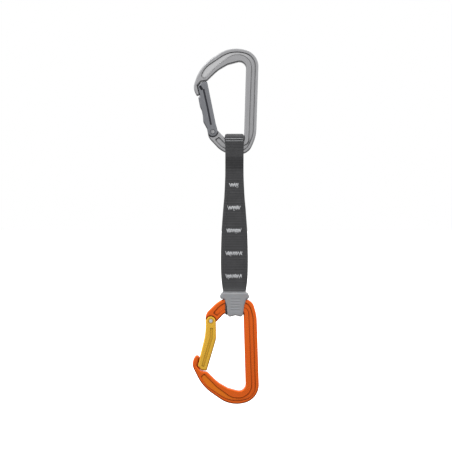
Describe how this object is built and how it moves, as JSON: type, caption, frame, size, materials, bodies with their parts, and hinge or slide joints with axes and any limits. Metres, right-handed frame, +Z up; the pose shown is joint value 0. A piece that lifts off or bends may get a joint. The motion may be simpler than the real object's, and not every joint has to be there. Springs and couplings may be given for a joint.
{
  "type": "climbing quickdraw",
  "caption": "Sport-climbing quickdraw: straight-gate bolt carabiner, tapered sewn webbing sling, rubber keeper and bent-gate rope carabiner, both gates sprung.",
  "frame": {"origin": "where a bolt hanger bears on the inside of the upper crook", "axes": "+Z up as the quickdraw hangs, +X from the gates to the spines, +Y away from the front face"},
  "size_m": [0.0623, 0.0192, 0.3334],
  "materials": {
    "satin_aluminium": "satin, clear anodised",
    "blue_grey_anodised": "satin, blue-grey anodised",
    "orange_anodised": "gloss, orange anodised",
    "gold_anodised": "gloss, golden yellow anodised",
    "rivet_steel": "bright",
    "dark_rivet": "dull, blackened",
    "pin_steel": "bright",
    "spring_steel": "drawn wire",
    "webbing": "woven polyamide, charcoal",
    "seam_thread": "sewing thread, dark grey",
    "tack_thread": "sewing thread, light grey",
    "grey_rubber": "matt, moulded"
  },
  "bodies": {
    "bolt_carabiner": {"top_frame": "satin_aluminium", "top_gate_rivet": "dark_rivet"},
    "straight_gate": {"top_gate": "blue_grey_anodised", "top_gate_spring": "spring_steel"},
    "straight_gate_plunger": {"top_gate_plunger": "pin_steel"},
    "upper_eye": {"sling_top_loop": "webbing"},
    "strap": {"sling_strap": "webbing", "bartack_1": "tack_thread", "bartack_2": "tack_thread", "bartack_3": "tack_thread", "bartack_4": "tack_thread", "bartack_5": "tack_thread", "edge_seam_left": "seam_thread", "edge_seam_right": "seam_thread"},
    "lower_eye": {"sling_bottom_loop": "webbing", "keeper": "grey_rubber"},
    "rope_carabiner": {"rope_frame": "orange_anodised", "rope_gate_rivet": "rivet_steel"},
    "bent_gate": {"rope_gate": "gold_anodised", "rope_gate_spring": "spring_steel"},
    "bent_gate_plunger": {"rope_gate_plunger": "pin_steel"}
  },
  "joints": [
    {"name": "straight_gate_hinge", "type": "hinge", "parent": "bolt_carabiner", "child": "straight_gate", "pos_m": [-0.0254, 0, -0.0666], "axis": [0, 1, 0], "range_deg": [0, 27], "stiffness_Nm_per_rad": 0.12, "springref_deg": -34.38},
    {"name": "straight_plunger_slide", "type": "slide", "parent": "straight_gate", "child": "straight_gate_plunger", "axis": [-0.2045, 0, 0.9789], "range_m": [0, 0.0006], "deforming": ["top_gate_spring"]},
    {"name": "sling_sway", "type": "hinge", "parent": "bolt_carabiner", "child": "upper_eye", "pos_m": [-0.005, 0, -0.07], "axis": [0, 1, 0], "range_deg": [-5, 5]},
    {"name": "sling_fold_top", "type": "hinge", "parent": "upper_eye", "child": "strap", "pos_m": [-0.005, 0, -0.108], "axis": [1, 0, 0], "range_deg": [-90, 90]},
    {"name": "sling_fold_bottom", "type": "hinge", "parent": "strap", "child": "lower_eye", "pos_m": [-0.005, 0, -0.2083], "axis": [1, 0, 0], "range_deg": [-75, 75]},
    {"name": "rope_carabiner_rock", "type": "hinge", "parent": "lower_eye", "child": "rope_carabiner", "pos_m": [-0.005, 0, -0.228], "axis": [0, 1, 0], "range_deg": [-4, 4], "stiffness_Nm_per_rad": 0.6},
    {"name": "bent_gate_hinge", "type": "hinge", "parent": "rope_carabiner", "child": "bent_gate", "pos_m": [-0.0271, 0, -0.2439], "axis": [0, -1, 0], "range_deg": [0, 27], "stiffness_Nm_per_rad": 0.12, "springref_deg": -34.38},
    {"name": "bent_plunger_slide", "type": "slide", "parent": "bent_gate", "child": "bent_gate_plunger", "axis": [0, 0, -1], "range_m": [0, 0.0006], "deforming": ["rope_gate_spring"]}
  ],
  "couplings": [
    {"joint": "straight_plunger_slide", "follows": "straight_gate_hinge", "m_per_rad": 0.0012},
    {"joint": "bent_plunger_slide", "follows": "bent_gate_hinge", "m_per_rad": 0.0012}
  ]
}
